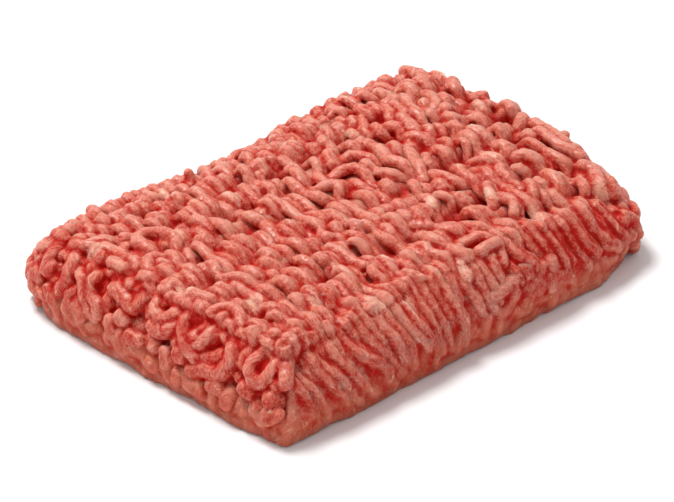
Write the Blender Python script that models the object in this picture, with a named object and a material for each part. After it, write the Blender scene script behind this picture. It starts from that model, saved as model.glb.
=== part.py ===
"""A slab of minced beef: one solid, 160 x 115 x 33 mm, that lies on its flat base.

The mince leaves the grinder as parallel strands and drops in pleats, so the top is a set of
ridges along X, ribbed by the strands that run over them along Y. The lower part of the sides is
pressed smooth, and the upper part is rounded and lumpy. Lengths are in metres, +Z is up.
"""

from math import cos, exp, pi, sin

import bmesh
import bpy

MM = 0.001

# Overall size
LENGTH = 160 * MM
WIDTH = 115 * MM
HEIGHT = 33 * MM

# Strands and pleats
STRAND_PITCH = 4.3 * MM
RIB_DEPTH = 0.9 * MM
PLEAT_PITCH = 17 * MM
PLEAT_DEPTH = 3.6 * MM
PLEAT_FRONT = 0.72  # share of a pleat that its long front slope takes
ROWS_PER_PLEAT = 6

# Waves that bend the pleat crests and roll the top: height, wavelength / 2 pi, start
CREST_WAVES = ((1.8 * MM, 19 * MM, 0.0), (1.1 * MM, 8.3 * MM, 1.7))
ROLL_HEIGHT = 0.7 * MM
ROLL_X = 13 * MM
ROLL_Y = 9 * MM

# Sides
RIM_INSET = 8 * MM
FOOT_INSET = 1.6 * MM
BULGE_SHARE = 0.38  # where the side stands out furthest, as a share of its height
SHOULDER_POWER = 2.2
SIDE_RINGS = 7
SIDE_RIB = 0.45 * MM
SIDE_LUMP = 1.4 * MM
LUMP_X = 7.1 * MM
LUMP_Y = 6.3 * MM
SWAY_HEIGHT = 0.9 * MM
SWAY_X = 21 * MM
SWAY_Y = 17 * MM

# How far each plan corner is pulled in, as a share of the half length and the half width
CORNER_PULL = {(-1, -1): 0.025, (1, -1): 0.055, (1, 1): 0.06, (-1, 1): 0.08}
CORNER_SHARPNESS = 8
LEFT_TAPER = 0.09  # how far the near end of the left side is pulled in
RIGHT_BOW = 0.08  # how far the middle of the right side stands out

# Height of the rim at each corner, and of the middle, as shares of HEIGHT
RIM_SHARE = {(-1, -1): 0.62, (1, -1): 0.77, (1, 1): 0.75, (-1, 1): 0.68}
MIDDLE_SHARE = 0.88
MIDDLE_TWIST = 0.06
LEVEL_POWER = 10  # keeps the top level until it nears the rim
RIM_RELIEF = 0.35  # share of the pleats' and ribs' depth that is left at the rim

# Bumps and dents of the top: place as shares of the half sizes, reach, and height
TOP_FEATURES = (
    (0.95, 0.55, 0.38, 4.5 * MM),  # mound in the far corner
    (-0.08, 0.90, 0.20, -3.2 * MM),  # dent in the far long edge
    (0.02, 0.10, 0.30, -0.8 * MM),  # pressed patch in the middle
    (0.96, 0.00, 0.50, 4.0 * MM),  # swell of the right end
    (0.96, -0.96, 0.34, -3.5 * MM),  # slope of the right near corner
)

BEEF_COLOUR = (0.56, 0.125, 0.088, 1)
BEEF_ROUGHNESS = 0.42


def corner_blend(values, u, v):
    """A value given at the four corners, spread evenly over the square -1..1 by -1..1."""
    return sum(value * (1 + sx * u) * (1 + sy * v) / 4 for (sx, sy), value in values.items())


def plan_point(u, v):
    """The place in plan of a point of the square: a rectangle with its corners rounded off."""
    pull = corner_blend(CORNER_PULL, u, v)
    x = u * (1 - pull * u**2 * v**CORNER_SHARPNESS)
    y = v * (1 - pull * v**2 * u**CORNER_SHARPNESS)
    if u < 0:
        x += LEFT_TAPER * u**2 * (1 - v) / 2
    else:
        x += RIGHT_BOW * u**2 * (1 - v**2)
    return x * LENGTH / 2, y * WIDTH / 2


def pleat_relief(x, y):
    """Ridges along X whose crests wander, each with a steep back and a long front slope."""
    wander = sum(height * sin(x / length + start) for height, length, start in CREST_WAVES)
    share = (y + wander) / PLEAT_PITCH % 1.0
    if share < PLEAT_FRONT:
        ridge = sin(0.5 * pi * share / PLEAT_FRONT)
    else:
        ridge = cos(0.5 * pi * (share - PLEAT_FRONT) / (1 - PLEAT_FRONT))
    return PLEAT_DEPTH * (ridge - 1)


def top_height(u, v, column):
    """Height of the top at a point of the square; column is its place in the row of strands."""
    x, y = plan_point(u, v)
    rim = corner_blend(RIM_SHARE, u, v)
    level = 1 - max(abs(u), abs(v)) ** LEVEL_POWER
    height = HEIGHT * (rim + (MIDDLE_SHARE + MIDDLE_TWIST * u * v - rim) * level)
    for place_u, place_v, reach, rise in TOP_FEATURES:
        height += rise * exp(-((u - place_u) ** 2 + (v - place_v) ** 2) / reach**2)
    rib = RIB_DEPTH / 2 if column % 2 else -RIB_DEPTH / 2
    roll = ROLL_HEIGHT * sin(x / ROLL_X + y / ROLL_Y)
    relief = pleat_relief(x, y) + rib + roll
    return height + relief * (RIM_RELIEF + (1 - RIM_RELIEF) * level)


def side_inset(share):
    """How far the side lies inside the outline: a tucked foot, a bulge, a rounded shoulder."""
    if share < BULGE_SHARE:
        return FOOT_INSET * (1 - share / BULGE_SHARE) ** 2
    rise = (share - BULGE_SHARE) / (1 - BULGE_SHARE)
    return RIM_INSET * (1 - (1 - rise**SHOULDER_POWER) ** 0.5)


def side_relief(step, share, x, y):
    """Ribs and lumps of the side, faint where it was pressed and full higher up."""
    rib = SIDE_RIB if step % 2 else -SIDE_RIB
    lump = SIDE_LUMP * sin(x / LUMP_X + 12 * share) * cos(y / LUMP_Y - 9 * share)
    sway = SWAY_HEIGHT * sin(x / SWAY_X + y / SWAY_Y)
    return (rib + lump) * share * (1 - share**6) + sway


def boundary_steps(columns, rows):
    """Grid indices round the edge of the top, anticlockwise from the near left corner."""
    near = [(i, 0) for i in range(columns)]
    right = [(columns, j) for j in range(rows)]
    far = [(i, rows) for i in range(columns, 0, -1)]
    left = [(0, j) for j in range(rows, 0, -1)]
    return near + right + far + left


def add_top(bm, columns, rows):
    """The ribbed top: a grid of faces with two columns to a strand."""
    shrink_x = 1 - 2 * RIM_INSET / LENGTH
    shrink_y = 1 - 2 * RIM_INSET / WIDTH
    top = {}
    for i in range(columns + 1):
        for j in range(rows + 1):
            u, v = 2 * i / columns - 1, 2 * j / rows - 1
            x, y = plan_point(u, v)
            top[i, j] = bm.verts.new((x * shrink_x, y * shrink_y, top_height(u, v, i)))
    for i in range(columns):
        for j in range(rows):
            bm.faces.new((top[i, j], top[i + 1, j], top[i + 1, j + 1], top[i, j + 1]))
    return top


def side_ring(bm, share, edge, top, columns, rows):
    """One ring of vertices round the side, at a share of the height of the rim above it."""
    ring = []
    for step, (i, j) in enumerate(edge):
        x, y = plan_point(2 * i / columns - 1, 2 * j / rows - 1)
        inset = side_inset(share) - side_relief(step, share, x, y)
        x *= 1 - 2 * inset / LENGTH
        y *= 1 - 2 * inset / WIDTH
        ring.append(bm.verts.new((x, y, share * top[i, j].co.z)))
    return ring


def slab_mesh():
    """The closed slab: a ribbed top, rings down the sides, and one flat base face."""
    bm = bmesh.new()
    columns = 2 * round((LENGTH - 2 * RIM_INSET) / STRAND_PITCH)
    rows = round((WIDTH - 2 * RIM_INSET) / PLEAT_PITCH * ROWS_PER_PLEAT)
    top = add_top(bm, columns, rows)
    edge = boundary_steps(columns, rows)
    above = [top[step] for step in edge]
    for ring in range(SIDE_RINGS - 1, -1, -1):
        below = side_ring(bm, ring / SIDE_RINGS, edge, top, columns, rows)
        for k in range(len(edge)):
            following = (k + 1) % len(edge)
            bm.faces.new((above[k], below[k], below[following], above[following]))
        above = below
    bm.faces.new(list(reversed(above)))
    return bm


def fit_to_box(bm):
    """Centres the slab over the origin and brings it to its overall size."""
    low = [min(vert.co[axis] for vert in bm.verts) for axis in range(3)]
    high = [max(vert.co[axis] for vert in bm.verts) for axis in range(3)]
    size = (LENGTH, WIDTH, HEIGHT)
    for vert in bm.verts:
        for axis in range(3):
            share = (vert.co[axis] - low[axis]) / (high[axis] - low[axis])
            vert.co[axis] = size[axis] * (share - (0 if axis == 2 else 0.5))


def raw_beef_material():
    material = bpy.data.materials.new("raw_beef")
    material.use_nodes = True
    shader = material.node_tree.nodes["Principled BSDF"]
    shader.inputs["Base Color"].default_value = BEEF_COLOUR
    shader.inputs["Roughness"].default_value = BEEF_ROUGHNESS
    shader.inputs["Metallic"].default_value = 0
    return material


def make_slab():
    bm = slab_mesh()
    fit_to_box(bm)
    bmesh.ops.triangulate(bm, faces=bm.faces[:])
    bmesh.ops.recalc_face_normals(bm, faces=bm.faces[:])
    mesh = bpy.data.meshes.new("mince_slab")
    bm.to_mesh(mesh)
    bm.free()
    mesh.materials.append(raw_beef_material())
    mesh.shade_smooth()
    slab = bpy.data.objects.new("mince_slab", mesh)
    bpy.context.scene.collection.objects.link(slab)


for old in list(bpy.data.objects):
    bpy.data.objects.remove(old)
make_slab()
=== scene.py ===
import time
from math import cos, pi, radians, sin

import bpy
import numpy as np
from mathutils import Matrix, Vector, kdtree


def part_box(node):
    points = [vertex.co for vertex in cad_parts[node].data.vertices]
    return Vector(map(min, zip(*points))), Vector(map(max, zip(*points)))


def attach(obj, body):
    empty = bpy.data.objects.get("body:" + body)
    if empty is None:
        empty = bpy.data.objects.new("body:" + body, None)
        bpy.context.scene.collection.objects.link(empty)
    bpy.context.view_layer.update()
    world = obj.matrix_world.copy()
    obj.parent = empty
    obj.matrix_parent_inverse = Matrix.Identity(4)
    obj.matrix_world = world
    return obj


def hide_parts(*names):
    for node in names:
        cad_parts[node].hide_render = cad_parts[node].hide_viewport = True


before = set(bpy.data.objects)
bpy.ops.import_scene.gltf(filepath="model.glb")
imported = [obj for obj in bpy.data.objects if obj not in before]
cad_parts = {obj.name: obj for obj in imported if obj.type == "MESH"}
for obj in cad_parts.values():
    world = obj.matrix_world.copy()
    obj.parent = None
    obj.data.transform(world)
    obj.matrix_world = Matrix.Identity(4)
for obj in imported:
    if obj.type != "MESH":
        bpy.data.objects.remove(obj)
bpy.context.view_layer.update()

# All shaping is done in millimetres, in the frame's own axes, and turned into metres when a
# mesh is made. x runs along the slab, y across it, z is up.

started = time.time()
mm = 0.001
boxLow, boxHigh = [np.array(tuple(corner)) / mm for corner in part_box("mince_slab")]
halfLength = (boxHigh[0] - boxLow[0]) / 2
halfWidth = (boxHigh[1] - boxLow[1]) / 2
slabHeight = boxHigh[2]
random = np.random.default_rng(11)


def stage(text):
    print(f"[{time.time() - started:6.1f} s] {text}")


def smoothStep(value, low, high):
    share = np.clip((np.asarray(value, float) - low) / (high - low), 0, 1)
    return share * share * (3 - 2 * share)


def smoothNoise(points, size, seed):
    # value noise from -1 to 1 whose bumps are about "size" across
    place = np.atleast_2d(np.asarray(points, float)) / size + 512.37
    cell = np.floor(place).astype(np.int64)
    part = place - cell
    part = part * part * (3 - 2 * part)
    total = np.zeros(len(place))
    for corner in np.ndindex(2, 2, 2):
        at = cell + np.array(corner)
        mixed = at[:, 0] * 73856093 ^ at[:, 1] * 19349663 ^ at[:, 2] * 83492791 ^ seed * 2654435
        mixed = (mixed ^ (mixed >> 13)) * 1274126177 & 0x7FFFFFFF
        mixed = (mixed ^ (mixed >> 15)) & 0xFFFF
        weight = np.prod(np.where(np.array(corner), part, 1 - part), axis=1)
        total += (mixed / 32767.5 - 1) * weight
    return total


def lineNoise(column, along, size, seed):
    return smoothNoise(np.c_[column, along / size, np.zeros(len(along))], 1.0, seed)


outline = {
    "cornerPull": {(-1, -1): 0.025, (1, -1): 0.10, (1, 1): 0.07, (-1, 1): 0.15},
    "cornerSharpness": 6,
    "leftTaper": 0.10,
    "rightBow": 0.06,
    "rimShare": {(-1, -1): 0.62, (1, -1): 0.73, (1, 1): 0.50, (-1, 1): 0.68},
    "middleShare": 0.84,
    "middleTwist": 0.05,
    "levelPower": 6,
    "farFall": 3.0,  # how much lower the far edge and the right end lie
    "rightFall": 2.2,
    # bumps and dents of the top: place in u and v, reach, height
    "features": (
        (0.86, 0.45, 0.40, 2.4),
        (-0.04, 0.90, 0.22, -4.0),
        (0.02, 0.10, 0.30, -0.8),
        (0.90, 0.00, 0.50, 3.6),
        (1.0, -1.0, 0.30, -6.5),
    ),
    "crestRoom": 0.9,
    "footInset": 0.3,
    "bulgeShare": 0.30,
    "rimInset": {"left": 8.0, "right": 8.7, "near": 8.5, "far": 9.2},
    "shoulderPower": 2.2,
}


def cornerBlend(values, u, v):
    return sum(value * (1 + sx * u) * (1 + sy * v) / 4 for (sx, sy), value in values.items())


def rawPlan(u, v):
    # u and v run from -1 to 1 along and across the slab
    pull = cornerBlend(outline["cornerPull"], u, v)
    sharp = outline["cornerSharpness"]
    x = u * (1 - pull * u**2 * v**sharp)
    y = v * (1 - pull * v**2 * u**sharp)
    taper = outline["leftTaper"] * u**2 * (1 - v) / 2
    bow = outline["rightBow"] * u**2 * (1 - v**2)
    return x + np.where(u < 0, taper, bow), y


edgeSteps = np.linspace(-1, 1, 81)
wholeEdge = np.ones(len(edgeSteps))
rawLeft = rawPlan(-wholeEdge, edgeSteps)[0].min()
rawRight = rawPlan(wholeEdge, edgeSteps)[0].max()
rawNear = rawPlan(edgeSteps, -wholeEdge)[1].min()
rawFar = rawPlan(edgeSteps, wholeEdge)[1].max()


def planPoint(u, v):
    x, y = rawPlan(np.asarray(u, float), np.asarray(v, float))
    x = (x - rawLeft) / (rawRight - rawLeft) * 2 - 1
    y = (y - rawNear) / (rawFar - rawNear) * 2 - 1
    return x * halfLength, y * halfWidth


def rawTop(u, v):
    u, v = np.asarray(u, float), np.asarray(v, float)
    rim = cornerBlend(outline["rimShare"], u, v)
    level = 1 - np.maximum(abs(u), abs(v)) ** outline["levelPower"]
    middle = outline["middleShare"] + outline["middleTwist"] * u * v
    height = slabHeight * (rim + (middle - rim) * level)
    for placeU, placeV, reach, rise in outline["features"]:
        height = height + rise * np.exp(-((u - placeU) ** 2 + (v - placeV) ** 2) / reach**2)
    height = height - outline["farFall"] * smoothStep(v, 0.45, 0.95)
    return height - outline["rightFall"] * smoothStep(u, 0.60, 0.98)


gridU, gridV = np.meshgrid(edgeSteps, edgeSteps)
topScale = (slabHeight - outline["crestRoom"]) / rawTop(gridU, gridV).max()


def topHeight(u, v):
    return rawTop(u, v) * topScale


def sideInset(share, side):
    # how far a side lies inside the outline, at a share of the height of the rim
    share = np.clip(np.asarray(share, float), 0, 1)
    bulge = outline["bulgeShare"]
    foot = outline["footInset"] * (1 - np.minimum(share / bulge, 1)) ** 2
    rise = np.clip((share - bulge) / (1 - bulge), 0, 1)
    return foot + outline["rimInset"][side] * (1 - np.sqrt(1 - 0.999 * rise ** outline["shoulderPower"]))


def sharesOf(place):
    return np.clip(place[:, 0] / halfLength, -1, 1), np.clip(place[:, 1] / halfWidth, -1, 1)


def limits(place):
    # the four sides of the slab at each place: lowest x, highest x, lowest y, highest y
    u, v = sharesOf(place)
    low, high = -np.ones(len(u)), np.ones(len(u))
    z = place[:, 2]
    return (
        planPoint(low, v)[0] + sideInset(z / topHeight(low, v), "left"),
        planPoint(high, v)[0] - sideInset(z / topHeight(high, v), "right"),
        planPoint(u, low)[1] + sideInset(z / topHeight(u, low), "near"),
        planPoint(u, high)[1] - sideInset(z / topHeight(u, high), "far"),
    )


def buried(place):
    # how far a place lies below the surface of the slab as a whole
    lowX, highX, lowY, highY = limits(place)
    x, y, z = place.T
    above = topHeight(*sharesOf(place)) - z
    return np.minimum.reduce([above, x - lowX, highX - x, y - lowY, highY - y])


def looseness(x):
    # the left half is laid tight and fine, the right half loose
    return smoothStep(x, -25, 35)


def byLooseness(name, x):
    # a value of the pleats, which changes from the tight half to the loose one
    loose = float(looseness(x))
    return pleats[name + "Left"] * (1 - loose) + pleats[name + "Right"] * loose


pleats = {
    "crests": (-46.5, -35.5, -25.0, -14.5, -4.5, 6.5, 17.0, 27.5, 37.0, 46.0),
    "spacing": 7.0,  # the least from one crest to the next
    "wander": 6.0,
    "wanderSize": 11.0,
    "crestJitter": 2.1,
    "heightJitter": 0.9,
    "lean": 0.9,
    "low": (2.5, 4.5),  # how far a low crest lies under the others
    "high": (0.4, 1.4),
    "warp": (2.6, 21.0, 1.6, 9.0),  # shared sway: along x and its size, along y and its size
    "pitchLeft": 3.3,
    "pitchRight": 3.8,
    "radiusShare": 0.52,
    # depth of a pleat as a share of its run
    "depthLeft": 0.44,
    "depthRight": 0.43,
    "depthPressed": 0.20,  # in the pressed band across the middle
    "frontLeft": 0.50,  # share of a pleat that its front takes
    "frontRight": 0.38,
    "flat": 0.25,  # share of the pleats that a strand crosses without dipping
    "below": (1.2, 1.3),  # how far the second layer lies under the first, tight half and loose half
    "knuckle": 0.17,  # how much a strand swells and narrows
    "step": 1.5,
    "columnMargin": 8.0,
}


# a strand's kind is the number of its column in the pleats, or one of these
kinds = {"leftEnd": 100, "rightEnd": 101, "bit": 200, "stray": 300}


def inPleats(strand):
    return strand["kind"] < kinds["leftEnd"]


def curveThrough(points):
    # a smooth curve through the points, with a point every step
    points = np.asarray(points, float)
    ends = np.vstack([2 * points[0] - points[1], points, 2 * points[-1] - points[-2]])
    t = np.linspace(0, 1, 12, endpoint=False)[:, None]
    parts = []
    for k in range(len(points) - 1):
        a, b, c, d = ends[k : k + 4]
        curve = 2 * b + (c - a) * t + (2 * a - 5 * b + 4 * c - d) * t**2 + (3 * b - a - 3 * c + d) * t**3
        parts.append(0.5 * curve)
    dense = np.vstack(parts + [points[-1:]])
    return evenly(dense)


def evenly(path):
    length = np.r_[0, np.cumsum(np.linalg.norm(np.diff(path, axis=0), axis=1))]
    count = max(3, int(round(length[-1] / pleats["step"])) + 1)
    at = np.linspace(0, length[-1], count)
    return np.stack([np.interp(at, length, path[:, axis]) for axis in range(path.shape[1])], axis=1)


def columnPlaces():
    places = []
    x = -halfLength + pleats["columnMargin"]
    while x < halfLength - pleats["columnMargin"] * 0.7:
        places.append(x)
        x += byLooseness("pitch", x)
    return np.array(places)


def makeStrand(path, radius, kind, ends=0.6, hold=0.02, press=0.3):
    path = evenly(np.asarray(path, float))
    along = np.arange(len(path)) * pleats["step"]
    lumps = 1 + pleats["knuckle"] * lineNoise(np.full(len(path), random.uniform(0, 900)), along, 3.4, 5)
    holds = np.full(len(path), hold)
    holds[:2] = ends
    holds[-2:] = ends
    return {
        "path": path,
        "radius": radius * lumps,
        "kind": kind,
        "hold": holds,
        "press": press,
        "tint": random.uniform(),
    }


def fieldNoise(x, y, size, seed):
    return float(smoothNoise([(x, y, 0.0)], size, seed)[0])


def reliefDepth(x, y, run):
    depth = byLooseness("depth", x)
    pressed = np.exp(-(((x + 12) / 30) ** 2) - ((y - 1) / 12) ** 2)
    depth += (pleats["depthPressed"] - depth) * pressed
    depth *= 1 - 0.45 * float(smoothStep(abs(y), 32, 42))
    return depth * (1 + 0.35 * fieldNoise(x, y, 20.0, 31)) * min(run, 12.0)


def crestPlaces(x, jitter):
    # where each pleat's crest lies across the slab at x, from the near side to the far side
    places = []
    last = len(pleats["crests"]) - 1
    for k, crest in enumerate(pleats["crests"]):
        share = 0.25 if k in (0, last) else (0.6 if k == 1 else 1.0)
        own = fieldNoise(x, 53.0 * k, pleats["wanderSize"], 32)
        shared = 1.4 * sin(x / 19.0) + 0.9 * sin(x / 8.3 + 1.7)
        stray = random.normal(0, pleats["crestJitter"]) * jitter if jitter else 0
        places.append(crest + share * (pleats["wander"] * own - shared) + stray)
    for k in range(1, len(places)):
        places[k] = max(places[k], places[k - 1] + pleats["spacing"])
    return places


def pleatShape(crests, heights, fronts, depths):
    # across the slab from the far crest to the near one: y, z and how far the strand has dropped
    rows = []
    for k in range(len(crests) - 1, 0, -1):
        y, z = crests[k], heights[k]
        nextZ = heights[k - 1]
        run = y - crests[k - 1]
        share = fronts[k]
        low = min(z, nextZ) - depths[k]
        rest = 1 - 1.08 * share
        rows.append((y, z, 0.0))
        rows.append((y - 0.42 * share * run, z - 0.16 * (z - low), 0.3))
        rows.append((y - 0.80 * share * run, z - 0.62 * (z - low), 0.8))
        rows.append((y - 1.08 * share * run, low, 1.0))
        rows.append((y - (1 - 0.55 * rest) * run, low + 0.38 * (nextZ - low), 0.7))
        rows.append((y - (1 - 0.22 * rest) * run, low + 0.82 * (nextZ - low), 0.3))
    rows.append((crests[0], heights[0], 0.0))
    return rows


def crestHeight(x, y, radius):
    v = np.clip(y / halfWidth, -0.92, 0.92)
    return float(topHeight(x / halfLength, v)) - radius


def swayed(points):
    # neighbours lean the same way
    swayX, sizeX, swayY, sizeY = pleats["warp"]
    flat = np.c_[points[:, :2], np.zeros(len(points))]
    points[:, 0] += swayX * smoothNoise(flat, sizeX, 41) * smoothStep(halfLength - abs(points[:, 0]), 4, 16)
    points[:, 1] += swayY * smoothNoise(flat, sizeY, 42) * smoothStep(halfWidth - abs(points[:, 1]), 4, 16)
    return points


# stretches that have slipped sideways over their neighbours
slips = {"tight": 0.25, "loose": 1.0, "shift": (2.0, 4.2), "reach": (4, 7), "rise": 1.4}


def columnPath(x, radius, jitter, column):
    # one strand laid back and forth over the slab, from the far side to the near side
    u = x / halfLength
    loose = float(looseness(x))
    crests = crestPlaces(x, jitter)
    heights = []
    for k, crestY in enumerate(crests):
        onEdge = k in (0, len(crests) - 1)
        height = crestHeight(x, crestY, radius)
        height += random.normal(0, pleats["heightJitter"]) * jitter * (0.4 if onEdge else 1)
        odd = random.uniform() + (0.5 if onEdge else 0)
        if odd < 0.07 * loose + 0.02:
            height -= random.uniform(*pleats["low"])
        elif odd < 0.22 * loose + 0.07:
            height += random.uniform(*pleats["high"])
        heights.append(height)
    endDepth = 3.0 * float(smoothStep(abs(x), halfLength - 14, halfLength - 8))
    fronts = byLooseness("front", x) * random.uniform(0.75, 1.25, len(crests))
    runs = np.diff([crests[0] - 10, *crests])
    depths = []
    for y, run in zip(crests, runs):
        depths.append(reliefDepth(x, y - 4, run) * random.uniform(0.7, 1.25) + endDepth)
    depths[1] *= 0.5
    for k in range(1, len(depths)):
        # here and there the strand lies almost flat across a pleat
        if random.uniform() < pleats["flat"]:
            depths[k] *= random.uniform(0.25, 0.6)
    points = sideDrape(u, 1, radius, x)[::-1]
    lean = random.normal(0, pleats["lean"]) * jitter
    for y, z, dropped in pleatShape(crests, heights, fronts, depths):
        if dropped == 0:
            lean = random.normal(0, pleats["lean"]) * jitter
        points.append((x + lean * dropped, y, z))
    points += sideDrape(u, -1, radius, x)
    path = swayed(curveThrough(points))
    along = np.arange(len(path)) * pleats["step"]
    wave = 1.5 * lineNoise(np.full(len(path), column / 3.2), along, 13.0, 1)
    wave += 1.0 * lineNoise(np.full(len(path), column / 1.1), along, 5.5, 2)
    path[:, 0] += wave * (0.7 + 0.8 * loose + 0.7 * float(smoothStep(x, 62, 70)))
    for _ in range(random.poisson(slips["loose"] * loose + slips["tight"])):
        centre = random.integers(20, len(path) - 20)
        away = (np.arange(len(path)) - centre) * pleats["step"]
        hump = np.exp(-((away / random.uniform(*slips["reach"])) ** 2))
        path[:, 0] += random.choice([-1, 1]) * random.uniform(*slips["shift"]) * hump
        path[:, 2] += slips["rise"] * hump
    # nothing stands proud of the two long edges
    u, v = np.clip(path[:, 0] / halfLength, -1, 1), np.clip(path[:, 1] / halfWidth, -0.92, 0.92)
    highest = topHeight(u, v) - radius + 0.7 + 4.0 * smoothStep(halfWidth - abs(path[:, 1]), 17, 25)
    path[:, 2] = np.minimum(path[:, 2], highest)
    return path


drapes = {
    "shares": (0.87, 0.66, 0.45),
    "lowest": ((0.06, 0.42), (0.24, 0.62)),  # of the tight half and the loose half
    # how far the strands lean to the right for each millimetre down the near side, by x
    "slant": {"places": (-80, -50, -15, 20, 80), "values": (0.9, 0.75, 0.25, 0.5, 0.45)},
    "sink": (0.0, 1.3),
    "footSink": 1.2,
}


def sideDrape(u, side, radius, x):
    # the way down one long side, from the shoulder into the pressed skirt
    edgeY = float(planPoint(u, side)[1])
    rim = float(topHeight(u, side))
    slant = random.normal(0, 0.20)
    slant += float(np.interp(x, drapes["slant"]["places"], drapes["slant"]["values"])) if side < 0 else 0.15
    sideName = "near" if side < 0 else "far"
    sunk = random.uniform(*drapes["sink"]) * (0.3 if side < 0 and x > 36 else 1)
    points = []
    tight, loose = drapes["lowest"]
    last = random.uniform(*(loose if x > 12 and side < 0 else tight))
    for share in [part for part in drapes["shares"] if part > last + 0.06] + [last]:
        inset = float(sideInset(share, sideName)) + radius
        sink = sunk * smoothStep(share, 0.78, 0.34) + drapes["footSink"] * smoothStep(share, 0.22, 0.05)
        drop = rim * (1 - share)
        points.append((x + slant * drop, edgeY - side * (inset + sink), (rim - radius * 0.6) * share))
    return points


secondLayer = {"past": 3, "topFrom": 20, "lowest": 3.0, "deepest": 11, "swell": 1.05}


def layerBelow(strand):
    # a second layer under a settled strand, half a strand to the side
    path, radius = strand["path"], strand["radius"]
    # it runs on past both ends, so that a break in the strand above it does not go deep
    past = secondLayer["past"]
    reach = np.arange(past, 0, -1)[:, None]
    path = path.copy()
    if path[0, 2] > secondLayer["topFrom"]:
        path = np.vstack([path[0] + (path[0] - path[1]) * reach, path])
        radius = np.r_[[radius[0]] * past, radius]
    if path[-1, 2] > secondLayer["topFrom"]:
        path = np.vstack([path, path[-1] + (path[-1] - path[-2]) * reach[::-1]])
        radius = np.r_[radius, [radius[-1]] * past]
    path[:, 2] = np.minimum(path[:, 2], strand["path"][:, 2].max())
    onSide = smoothStep(abs(path[:, 1]), 42, 51) * smoothStep(slabHeight - path[:, 2], 3, 10)
    below = np.interp(path[:, 0], (-25, 35), pleats["below"])
    path[:, 0] += 0.5 * pleats["pitchLeft"]
    path[:, 1] -= np.sign(path[:, 1]) * onSide * below
    path[:, 2] -= (1 - onSide) * below
    path[:, 2] = np.maximum(path[:, 2], secondLayer["lowest"])
    keep = buried(path) < secondLayer["deepest"]
    runs = np.split(np.arange(len(path)), np.flatnonzero(np.diff(keep.astype(int))) + 1)
    runs = [run for run in runs if keep[run[0]] and len(run) > 2]
    return [(path[run], radius[run] * secondLayer["swell"]) for run in runs]


breaks = {"first": (14, 60), "next": (22, 80), "chance": 0.6}


def broken(path, kind, radius):
    # now and then a strand is broken, which leaves two round tips a little apart
    pieces = []
    begin = 0
    cursor = random.integers(*breaks["first"])
    while cursor < len(path) - 10:
        if random.uniform() < breaks["chance"]:
            pieces.append(path[begin:cursor])
            begin = cursor + 1
        cursor += random.integers(*breaks["next"])
    pieces.append(path[begin:])
    strands = []
    for number, piece in enumerate(pieces):
        if len(piece) < 5:
            continue
        strand = makeStrand(piece, radius, kind, ends=0.02)
        if number == 0:
            strand["hold"][:3] = 0.5
        if number == len(pieces) - 1:
            strand["hold"][-3:] = 0.5
        strands.append(strand)
    return strands


def pleatStrands():
    strands = []
    columns = columnPlaces()
    for i, x in enumerate(columns):
        radius = byLooseness("pitch", x) * pleats["radiusShare"] * random.uniform(0.80, 1.14)
        path = columnPath(x, radius, 0.8 + 0.35 * float(looseness(x)), i)
        path[:, 0] = planPoint(path[:, 0] / halfLength, np.clip(path[:, 1] / halfWidth, -1, 1))[0]
        strands += broken(path, i, radius)
    return strands


ends = {
    # strands that come over the edge, hooks, and rows of cobbles with their heights
    -1: {"over": 10, "hooks": 9, "rows": (5.5, 9.5, 13.0, 17.0), "deep": (0.6, 0.0, 1.0, 1.8)},
    1: {"over": 10, "hooks": 9, "rows": (6.0, 10.0, 14.0), "deep": (0.6, 0.0, -0.2)},
    "radius": 2.15,
    "lowest": 12.0,
    "cobbleRadius": 2.6,
    "cobblePitch": 5.4,
}


def endPoint(side, y, z, depth):
    # a point on the short end at "side", "depth" inside its outline
    v = np.clip(y / halfWidth, -0.97, 0.97)
    edgeX = float(planPoint(side, v)[0])
    rim = float(topHeight(side * 0.99, v))
    inset = float(sideInset(z / rim, "left" if side < 0 else "right"))
    return np.array([edgeX - side * (inset + depth), y, z])


def curlPath(side, y, z, heading, length, bend, radius):
    # a strand that wanders over the short end, turning now one way and now the other
    seed = random.uniform(0, 900)
    path = []
    depth = radius + random.uniform(0.0, 1.0)
    turning = random.choice([-1, 1]) * random.uniform(0.20, 0.36)
    flip = random.integers(4, 9)
    for number in range(int(length / pleats["step"])):
        along = number * pleats["step"]
        if number == flip:
            turning = -turning
            flip += random.integers(6, 11)
        heading += turning + bend * float(lineNoise(np.array([seed]), np.array([along]), 5.0, 3)[0])
        if z < ends["lowest"] and sin(heading) < 0:
            heading += 0.5 if cos(heading) > 0 else -0.5
        if z > slabHeight * 0.76 and sin(heading) > 0:
            heading += -0.5 if cos(heading) > 0 else 0.5
        y += cos(heading) * pleats["step"]
        z += sin(heading) * pleats["step"]
        y = float(np.clip(y, -halfWidth + 7, halfWidth - 7))
        wave = 0.9 * float(lineNoise(np.array([seed + 5]), np.array([along]), 6.0, 4)[0])
        path.append(endPoint(side, y, z, depth + wave))
    return np.array(path)


def overStrand(side, y, radius, kind):
    # a strand that comes over the edge of the top and hangs down the end
    v = y / halfWidth
    x = side * (halfLength - random.uniform(11, 15))
    top = float(topHeight(x / halfLength, v)) - radius * 0.8
    edge = endPoint(side, y, slabHeight * 0.66, radius)
    edge[2] = float(topHeight(side * 0.95, v)) - radius * 0.9
    start = np.array([x, y + random.normal(0, 3), top - 2.5])
    bend = np.array([x + side * 3, y + random.normal(0, 1), top])
    heading = -pi / 2 + random.normal(0, 0.5)
    down = curlPath(side, y, edge[2] - 3, heading, random.uniform(8, 18), 0.8, radius)
    path = curveThrough(np.vstack([start, bend, edge, down[::3], down[-1:]]))
    return makeStrand(path, radius, kind, ends=0.03)


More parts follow.
